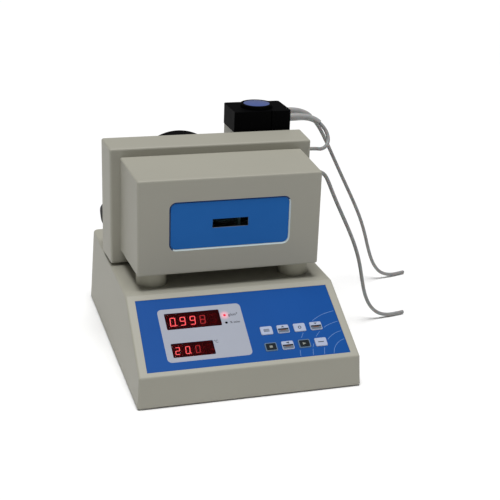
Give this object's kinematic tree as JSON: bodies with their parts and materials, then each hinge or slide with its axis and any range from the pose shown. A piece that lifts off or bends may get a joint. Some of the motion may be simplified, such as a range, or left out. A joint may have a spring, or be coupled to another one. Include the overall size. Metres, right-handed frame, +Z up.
{
  "type": "benchtop density meter",
  "caption": "Benchtop density meter: sloping base with two number displays and keys, a raised measuring head with a viewing slot, a cooling fan and a rotary hose pump.",
  "frame": {"origin": "middle of the base's footprint, at the level of the rubber feet's undersides", "axes": "+Z up, +Y away from the user, towards the connections, and +X to the user's right"},
  "size_m": [0.4776, 0.346, 0.2882],
  "materials": {
    "housing_abs": "moulded, fine texture",
    "spacer_abs": "moulded, satin",
    "zinc_sheet": "zinc-plated sheet",
    "zinc_screw": "zinc-plated",
    "foot_rubber": "moulded",
    "rear_aluminium": "anodised",
    "black_nylon": "moulded",
    "port_steel": "tin-plated",
    "blue_polycarbonate": "printed film",
    "red_filter_acrylic": "tinted acrylic",
    "digit_epoxy": "moulded epoxy",
    "lamp_epoxy": "moulded epoxy",
    "circuit_board": "solder mask",
    "key_silicone": "printed cap",
    "supply_aluminium": "perforated cover",
    "window_glass": "clear",
    "clamp_grey": "machined",
    "machined_aluminium": "machined",
    "black_anodised_aluminium": "black-anodised",
    "cell_foam": "closed-cell foam",
    "coil_copper": "enamelled wire",
    "stainless_steel": "ground",
    "peltier_ceramic": "alumina",
    "silicone_hose": "translucent, extruded",
    "ptfe_hose": "translucent, extruded",
    "fitting_polypropylene": "moulded",
    "cable_pvc": "extruded",
    "motor_steel": "drawn can",
    "pump_black": "moulded, fine texture",
    "rotor_acetal": "machined",
    "inlay_blue": "moulded"
  },
  "bodies": {
    "root": {"base_shell": "housing_abs", "head_front_cover": "housing_abs", "head_rear_shell": "housing_abs", "motor_box": "housing_abs", "spacer_feet": "spacer_abs", "base_plate": "zinc_sheet", "head_rear_plate": "zinc_sheet", "case_screws": "zinc_screw", "mounting_bolts": "zinc_screw", "rubber_feet": "foot_rubber", "rear_panel": "rear_aluminium", "power_inlet": "black_nylon", "switch_frame": "black_nylon", "fan_housing": "black_nylon", "cable_glands": "black_nylon", "serial_port": "port_steel", "control_panel": "blue_polycarbonate", "window_panel": "blue_polycarbonate", "display_filters": "red_filter_acrylic", "digit_modules": "digit_epoxy", "unit_lamps": "lamp_epoxy", "display_board": "circuit_board", "main_board": "circuit_board", "power_supply": "supply_aluminium", "viewing_glass": "window_glass", "u_tube": "window_glass", "tube_clamp": "clamp_grey", "heat_sink": "machined_aluminium", "cell_block": "black_anodised_aluminium", "cell_insulation": "cell_foam", "drive_coils": "coil_copper", "temperature_sensor": "stainless_steel", "peltier_module": "peltier_ceramic", "waste_hose": "silicone_hose", "sample_hose": "silicone_hose", "loop_hose": "silicone_hose", "pump_tube": "silicone_hose", "cell_hoses": "ptfe_hose", "hose_fittings": "fitting_polypropylene", "head_cable": "cable_pvc", "pump_motor": "motor_steel", "pump_body": "pump_black", "pump_clamp": "pump_black"},
    "rocker": {"power_rocker": "black_nylon"},
    "fan": {"fan_rotor": "black_nylon"},
    "rotor": {"pump_rotor": "rotor_acetal", "pump_shaft": "stainless_steel", "rotor_knob": "pump_black", "knob_inlay": "inlay_blue"},
    "key_1": {"key_1": "key_silicone"},
    "key_2": {"key_2": "key_silicone"},
    "key_3": {"key_3": "key_silicone"},
    "key_4": {"key_4": "key_silicone"},
    "key_5": {"key_5": "key_silicone"},
    "key_6": {"key_6": "key_silicone"},
    "key_7": {"key_7": "key_silicone"},
    "key_8": {"key_8": "key_silicone"},
    "roller_1": {"roller_1": "rotor_acetal"},
    "roller_2": {"roller_2": "rotor_acetal"},
    "roller_3": {"roller_3": "rotor_acetal"}
  },
  "joints": [
    {"name": "rocker_tilt", "type": "hinge", "parent": "root", "child": "rocker", "pos_m": [-0.016, 0.1655, 0.05], "axis": [1, 0, 0], "range_deg": [-20, 0]},
    {"name": "fan_spin", "type": "hinge", "parent": "root", "child": "fan", "pos_m": [-0.028, 0.0904, 0.1935], "axis": [0, 1, 0], "continuous": true},
    {"name": "rotor_spin", "type": "hinge", "parent": "root", "child": "rotor", "pos_m": [0.08, 0.107, 0.266], "axis": [0, 0, 1], "continuous": true},
    {"name": "key_1_press", "type": "slide", "parent": "root", "child": "key_1", "axis": [0, 0.5083, -0.8612], "range_m": [0, 0.0004], "stiffness_N_per_m": 200, "springref_m": -0.0005},
    {"name": "key_2_press", "type": "slide", "parent": "root", "child": "key_2", "axis": [0, 0.5083, -0.8612], "range_m": [0, 0.0004], "stiffness_N_per_m": 200, "springref_m": -0.0005},
    {"name": "key_3_press", "type": "slide", "parent": "root", "child": "key_3", "axis": [0, 0.5083, -0.8612], "range_m": [0, 0.0004], "stiffness_N_per_m": 200, "springref_m": -0.0005},
    {"name": "key_4_press", "type": "slide", "parent": "root", "child": "key_4", "axis": [0, 0.5083, -0.8612], "range_m": [0, 0.0004], "stiffness_N_per_m": 200, "springref_m": -0.0005},
    {"name": "key_5_press", "type": "slide", "parent": "root", "child": "key_5", "axis": [0, 0.5083, -0.8612], "range_m": [0, 0.0004], "stiffness_N_per_m": 200, "springref_m": -0.0005},
    {"name": "key_6_press", "type": "slide", "parent": "root", "child": "key_6", "axis": [0, 0.5083, -0.8612], "range_m": [0, 0.0004], "stiffness_N_per_m": 200, "springref_m": -0.0005},
    {"name": "key_7_press", "type": "slide", "parent": "root", "child": "key_7", "axis": [0, 0.5083, -0.8612], "range_m": [0, 0.0004], "stiffness_N_per_m": 200, "springref_m": -0.0005},
    {"name": "key_8_press", "type": "slide", "parent": "root", "child": "key_8", "axis": [0, 0.5083, -0.8612], "range_m": [0, 0.0004], "stiffness_N_per_m": 200, "springref_m": -0.0005},
    {"name": "roller_1_spin", "type": "hinge", "parent": "rotor", "child": "roller_1", "pos_m": [0.0905, 0.107, 0.266], "axis": [0, 0, 1], "continuous": true},
    {"name": "roller_2_spin", "type": "hinge", "parent": "rotor", "child": "roller_2", "pos_m": [0.07475, 0.11609, 0.266], "axis": [0, 0, 1], "continuous": true},
    {"name": "roller_3_spin", "type": "hinge", "parent": "rotor", "child": "roller_3", "pos_m": [0.07475, 0.09791, 0.266], "axis": [0, 0, 1], "continuous": true}
  ],
  "couplings": [
    {"joint": "roller_1_spin", "follows": "rotor_spin", "ratio": -3.3333},
    {"joint": "roller_2_spin", "follows": "rotor_spin", "ratio": -3.3333},
    {"joint": "roller_3_spin", "follows": "rotor_spin", "ratio": -3.3333}
  ]
}
